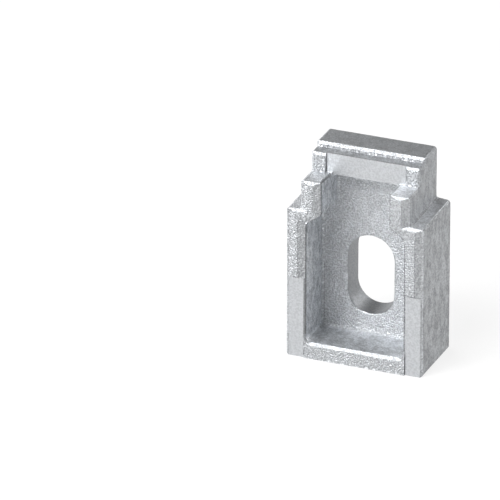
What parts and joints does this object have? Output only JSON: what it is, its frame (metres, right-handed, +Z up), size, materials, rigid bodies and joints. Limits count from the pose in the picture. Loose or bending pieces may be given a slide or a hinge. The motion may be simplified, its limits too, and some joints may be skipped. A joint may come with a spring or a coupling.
{
  "type": "profile end cap",
  "caption": "Upright die-cast end cap with a narrow stepped head, a slotted front plate and an open rear pocket, to close a slotted profile.",
  "frame": {"origin": "on the bottom face, under the middle of the width and of the depth", "axes": "+Z up from the bottom face to the top of the head, -Y out of the flat textured front face, +Y out of the open rear pocket, +X across the width"},
  "size_m": [0.02, 0.0104, 0.03],
  "materials": {
    "casting": "bare zinc die casting with a coarse eroded texture and smooth machined pads"
  },
  "bodies": {
    "root": {"end_cap": "casting"}
  },
  "joints": []
}
